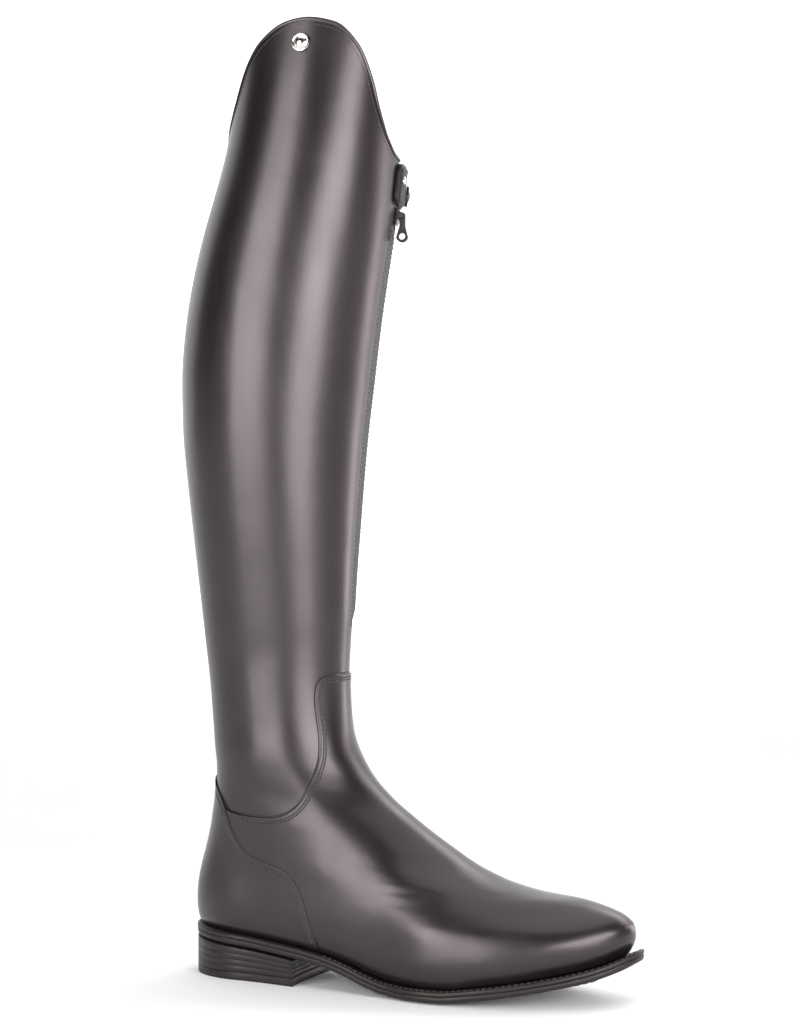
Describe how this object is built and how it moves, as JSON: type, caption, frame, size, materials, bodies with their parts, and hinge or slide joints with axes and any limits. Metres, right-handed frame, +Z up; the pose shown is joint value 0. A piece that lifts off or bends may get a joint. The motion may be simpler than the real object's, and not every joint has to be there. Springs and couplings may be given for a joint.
{
  "type": "dress riding boot",
  "caption": "Tall right-foot dress riding boot with a leather sole and heel, front zip, snap tab and a high curved dress arch on the outer side.",
  "frame": {"origin": "on the floor, at the middle of the heel's flat underside", "axes": "+X towards the toe, +Y towards the inner side of the foot, +Z up"},
  "size_m": [0.2895, 0.112, 0.5701],
  "materials": {
    "sole": "satin brown-black",
    "welt": "waxed edge",
    "lining": "matt lining",
    "leather": "polished black calf",
    "tape": "woven tape",
    "dark_steel": "gunmetal",
    "steel": "polished"
  },
  "bodies": {
    "boot": {"outsole": "sole", "welt": "welt", "heel_block": "welt", "heel_top_lift": "sole", "insole": "lining", "upper": "leather", "vamp": "leather", "counter": "leather", "collar_binding": "leather", "zip_tape": "tape", "zip_slider": "dark_steel", "snap_tab": "leather", "snap_cap": "dark_steel", "tab_rivet": "steel", "arch_stud": "steel"},
    "pull": {"zip_pull": "dark_steel"}
  },
  "joints": [
    {"name": "zip_pull_hinge", "type": "hinge", "parent": "boot", "child": "pull", "pos_m": [0.09026, 0.01402, 0.45942], "axis": [0.2452, -0.9695, 0], "range_deg": [-4, 145]}
  ]
}
